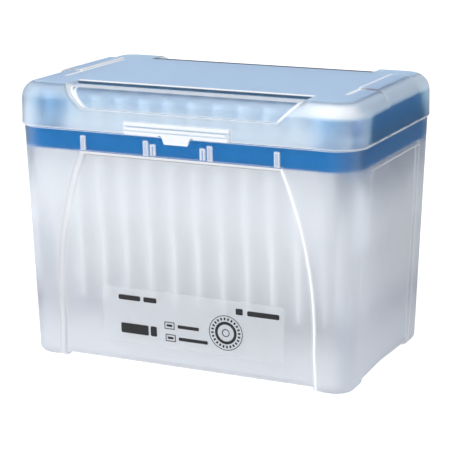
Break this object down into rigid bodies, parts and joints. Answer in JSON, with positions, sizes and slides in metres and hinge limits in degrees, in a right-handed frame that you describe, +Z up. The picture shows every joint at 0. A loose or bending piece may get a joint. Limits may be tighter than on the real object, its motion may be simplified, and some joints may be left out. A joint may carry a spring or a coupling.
{
  "type": "box of pipette tips",
  "caption": "Clear lidded box on four corner columns that holds a rack of pipette tips upright in a blue perforated tray; the lid hinges at the back.",
  "frame": {"origin": "centre of the tub's footprint, on the surface it stands on", "axes": "+Z up, X along the box's length, the front with the clasp faces -Y, hinge at +Y"},
  "size_m": [0.1256, 0.0874, 0.0977],
  "materials": {
    "clear_plastic": "clear moulded plastic, faintly milky",
    "blue_plastic": "smooth moulded plastic",
    "natural_plastic": "natural translucent plastic",
    "film": "clear film"
  },
  "bodies": {
    "base": {"base": "clear_plastic", "tray": "blue_plastic", "label": "film", "tips_column_01": "natural_plastic", "tips_column_02": "natural_plastic", "tips_column_03": "natural_plastic", "tips_column_04": "natural_plastic", "tips_column_05": "natural_plastic", "tips_column_06": "natural_plastic", "tips_column_07": "natural_plastic", "tips_column_08": "natural_plastic", "tips_column_09": "natural_plastic", "tips_column_10": "natural_plastic", "tips_column_11": "natural_plastic", "tips_column_12": "natural_plastic"},
    "lid": {"lid": "clear_plastic"}
  },
  "joints": [
    {"name": "lid_hinge", "type": "hinge", "parent": "base", "child": "lid", "pos_m": [0, 0.04315, 0.0826], "axis": [-1, 0, 0], "range_deg": [0, 110]}
  ]
}
